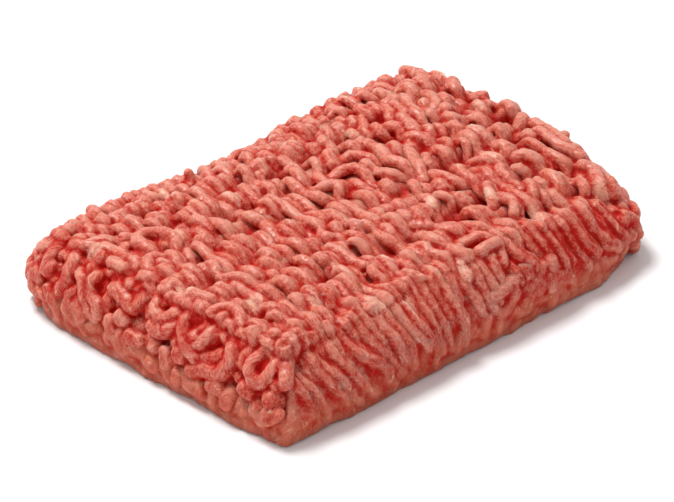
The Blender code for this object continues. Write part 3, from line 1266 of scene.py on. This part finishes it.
def beefMaterial():
    material = bpy.data.materials.new("raw_beef")
    material.use_nodes = True
    tree = material.node_tree
    nodes, links = tree.nodes, tree.links
    shader = nodes["Principled BSDF"]
    stored = ("grain", "tint", "crease", "hollow", "buried", "fat", "pressed", "facingShade", "red", "foot")
    grain, tint, crease, hollow, buriedDepth, fatShare, pressed, facingShade, red, foot = [
        addNode(tree, "Attribute", "Vector" if name == "grain" else "Fac", {}, attribute_name=name)
        for name in stored
    ]
    # muscle: painted shade makes it redder and darker into creases, hollows and on downward-facing sides,
    # and painted light makes the convex tops pale; with mottles of a millimetre or two and a tone for each
    # strand
    broad = noiseNode(tree, grain, 0.13, 3)
    mottle = noiseNode(tree, grain, 0.55, 5, 0.7, 0.8)
    speckle = noiseNode(tree, grain, 1.7, 4, 0.75, 0.5)
    # painted light and shade: convex tops start pale, hollows and creases dark red, sides facing away from
    # the top darker
    tone = mapRange(tree, hollow, -1.45, 1.85)
    for source, low, high, atLow, atHigh in (
        (facingShade, 0.9, 0.0, -0.06, 0.22),
        (crease, -0.4, 0.5, -0.08, 0.24),
        (mottle, 0.36, 0.64, 0.20, -0.20),
        (broad, 0.36, 0.64, 0.12, -0.12),
        (tint, 0.0, 1.0, 0.12, -0.10),
        (red, 0.0, 1.0, 0.0, 0.32),
        (speckle, 0.40, 0.60, 0.27, -0.27),
    ):
        tone = addMath(tree, "ADD", tone, mapRange(tree, source, low, high, atLow, atHigh))
    evened = mapRange(tree, pressed, 0.0, 1.0, 0.0, beef["pressed"])
    tone = addNode(tree, "Mix", "Result", {"Factor": evened, "A": tone, "B": 0.55})
    ramp = nodes.new("ShaderNodeValToRGB")
    for number, (stop, name) in enumerate(zip(beef["stops"], ("film", "pink", "lean", "deep"))):
        element = ramp.color_ramp.elements[number] if number < 2 else ramp.color_ramp.elements.new(stop)
        element.position = stop
        element.color = (*beef[name], 1)
    links.new(tone, ramp.inputs["Fac"])
    # fat in flecks, in patches, and in the patches placed on the strands
    fleck = noiseNode(tree, grain, 0.36, 4, 0.65, 0.5)
    patch = noiseNode(tree, grain, 0.12, 2, 0.5, 0.3)
    flecks = mapRange(tree, fleck, 0.60, 0.72, 0.0, 0.70)
    patches = mapRange(tree, patch, 0.66, 0.78, 0.0, 0.5)
    fatMask = addMath(tree, "MAXIMUM", flecks, patches)
    fatMask = addMath(tree, "MULTIPLY", fatMask, mapRange(tree, hollow, -0.2, 0.3, 1.0, 0.0))
    ragged = addMath(tree, "ADD", fatShare, mapRange(tree, mottle, 0.38, 0.62, -0.5, 0.4))
    fatMask = addMath(tree, "MAXIMUM", fatMask, mapRange(tree, ragged, 0.35, 0.9, 0.0, 0.75))
    meat = mixColour(tree, fatMask, ramp.outputs["Color"], beef["fat"])
    # painted shade: creases and what lies buried under the surface of the slab are mixed to the darkest red
    creaseShadeMask = mapRange(tree, crease, 0.3, 1.0, 0.0, 0.75)
    buriedShadeMask = mapRange(tree, buriedDepth, 0.26, 0.60, 0.0, 0.95)
    deepShadeMask = addMath(tree, "MAXIMUM", creaseShadeMask, buriedShadeMask)
    colour = mixColour(tree, deepShadeMask, meat, beef["deep"])
    colour = mixColour(tree, pressed, colour, beef["dried"], "MULTIPLY")
    # painted shade: the lowest few millimetres darkened as a contact shadow at the floor
    colour = mixColour(tree, foot, colour, beef["foot"], "MULTIPLY")
    links.new(colour, shader.inputs["Base Color"])
    wet = noiseNode(tree, grain, 1.5, 4, 0.7)
    links.new(mapRange(tree, wet, 0.38, 0.62, *beef["roughness"]), shader.inputs["Roughness"])
    shown = mapRange(tree, tone, 0.45, 0.75, 1.0, 0.0)
    coat = addMath(tree, "MULTIPLY", mapRange(tree, wet, 0.56, 0.46, *beef["wetness"]), shown)
    links.new(coat, shader.inputs["Coat Weight"])
    for name, value in beef["fixed"].items():
        shader.inputs[name].default_value = value
    shader.inputs["Subsurface Scale"].default_value = beef["scatter"] * mm
    fine = noiseNode(tree, grain, 1.1, 6, 0.75)
    bump = addNode(tree, "Bump", "Normal", {"Height": fine, "Strength": 0.8, "Distance": 0.9 * mm})
    links.new(bump, shader.inputs["Normal"])
    film = addNode(tree, "Bump", "Normal", {"Height": mottle, "Strength": 0.5, "Distance": 0.35 * mm})
    links.new(film, shader.inputs["Coat Normal"])
    return material


strands = pleatStrands()
columnCount = 1 + max(s["kind"] for s in strands)
strands += endStrands(-1)
strands += endStrands(1)
strands += strayStrands()
stage(f"{len(strands)} strands laid")
strands = settle(strands)
stage("strands settled")
rawBeef = beefMaterial()
making = {
    "bundles": 6,
    "sides": 12,  # of a strand's section
    "lowSides": 8,
    "coreSides": 10,
    # voxels in millimetres, and what share of the hidden triangles is kept
    "voxel": 0.46,
    "coreVoxel": 0.75,
    "keep": 0.62,
    "coreKeep": 0.72,
    "hiddenBelow": 6.0,
    "coreHiddenBelow": 7.5,
    "smoothing": 2,
    "coreSmoothing": 3,
    # the ends of the hanging strands are pressed into the core below this height, past this y
    "pressedBelow": 15,
    "pressedOutside": 40,
}


def triangleCount(mesh):
    return sum(len(p.vertices) - 2 for p in mesh.polygons)


bundles = {f"bundle_{k + 1}": [] for k in range(making["bundles"])}
for s in strands:
    if inPleats(s):
        share = s["kind"] / columnCount
    else:
        share = 0.5 + s["path"][:, 0].mean() / (2 * halfLength)
    bundles[f"bundle_{int(min(share, 0.99) * making['bundles']) + 1}"].append(s)
for name, group in bundles.items():
    parts = [tube(s["path"], s["radius"], making["sides"]) for s in group]
    for s in group:
        if inPleats(s):
            parts += [tube(path, radius, making["lowSides"]) for path, radius in layerBelow(s)]
    mesh = fused(name, parts, making["voxel"])
    hidden = buried(pointsOf(mesh)) > making["hiddenBelow"]
    mesh = thinned(mesh, hidden, making["keep"])
    finishSkin(mesh, group, making["smoothing"])
    addPiece(mesh, rawBeef)
    stage(f"{name}: {triangleCount(mesh)} triangles")
small = pressedBits()
coreSolids = [coreParts()]
for s in strands:
    if inPleats(s):
        for side in (-1, 1):
            outside = s["path"][:, 1] * side > making["pressedOutside"]
            under = np.flatnonzero((s["path"][:, 2] < making["pressedBelow"]) & outside)
            if len(under) > 3 and np.ptp(under) == len(under) - 1:
                coreSolids.append(tube(s["path"][under], s["radius"][under], making["coreSides"]))
coreSolids += [tube(s["path"], s["radius"], making["coreSides"]) for s in small]
coreMesh = fused("pressed_core", coreSolids, making["coreVoxel"])
corePoints = pointsOf(coreMesh)
coreHidden = (corePoints[:, 2] < 0.3) | (buried(corePoints) > making["coreHiddenBelow"])
coreMesh = thinned(coreMesh, coreHidden, making["coreKeep"])
finishSkin(coreMesh, small + strands, making["coreSmoothing"])
addPiece(coreMesh, rawBeef)
stage(f"core: {triangleCount(coreMesh)} triangles")


view = {"turn": -42.73, "rise": 31.82, "distance": 931.3, "right": -1.42, "up": 6.36, "lens": 171.3}


def addCamera():
    turn, rise = radians(view["turn"]), radians(view["rise"])
    back = Vector((sin(turn) * cos(rise), -cos(turn) * cos(rise), sin(rise)))
    right = Vector((cos(turn), sin(turn), 0))
    up = back.cross(right)
    place = (back * view["distance"] + right * view["right"] + up * view["up"]) * mm
    camera = bpy.data.objects.new("camera", bpy.data.cameras.new("camera"))
    camera.data.lens = view["lens"]
    camera.data.sensor_width = 36
    camera.data.clip_start = 0.01
    camera.matrix_world = Matrix.Translation(place) @ Matrix((right, up, back)).transposed().to_4x4()
    bpy.context.scene.collection.objects.link(camera)
    bpy.context.scene.camera = camera


floorLook = {"halfSize": 3.0, "colour": (0.9, 0.9, 0.9), "roughness": 0.8}


def addFloor():
    mesh = bpy.data.meshes.new("floor")
    size = floorLook["halfSize"]
    corners = [(-size, -size, 0), (size, -size, 0), (size, size, 0), (-size, size, 0)]
    mesh.from_pydata(corners, [], [(0, 1, 2, 3)])
    floor = bpy.data.objects.new("floor", mesh)
    bpy.context.scene.collection.objects.link(floor)
    material = bpy.data.materials.new("pale_floor")
    material.use_nodes = True
    shader = material.node_tree.nodes["Principled BSDF"]
    shader.inputs["Base Color"].default_value = (*floorLook["colour"], 1)
    shader.inputs["Roughness"].default_value = floorLook["roughness"]
    mesh.materials.append(material)


studio = {
    "keyLight": {"place": (-0.12, 0.34, 1.05), "size": 0.40, "power": 10.6},
    "fillLight": {"place": (-0.8, -0.45, 0.45), "size": 0.5, "power": 0.4},
    "worldStrength": 0.57,
}


def addLight(name, place, size, power):
    light = bpy.data.lights.new(name, "AREA")
    light.shape = "DISK"
    light.size = size
    light.energy = power
    lamp = bpy.data.objects.new(name, light)
    lamp.location = place
    lamp.rotation_euler = (-Vector(place)).to_track_quat("-Z", "Y").to_euler()
    bpy.context.scene.collection.objects.link(lamp)


def addWorld(strength):
    world = bpy.data.worlds.new("studio")
    world.use_nodes = True
    world.node_tree.nodes["Background"].inputs["Color"].default_value = (1, 1, 1, 1)
    world.node_tree.nodes["Background"].inputs["Strength"].default_value = strength
    bpy.context.scene.world = world


addCamera()
addFloor()
for name in ("keyLight", "fillLight"):
    addLight(name, **studio[name])
addWorld(studio["worldStrength"])
stage("camera, floor and lights placed")
bpy.context.scene.view_settings.view_transform = "Standard"
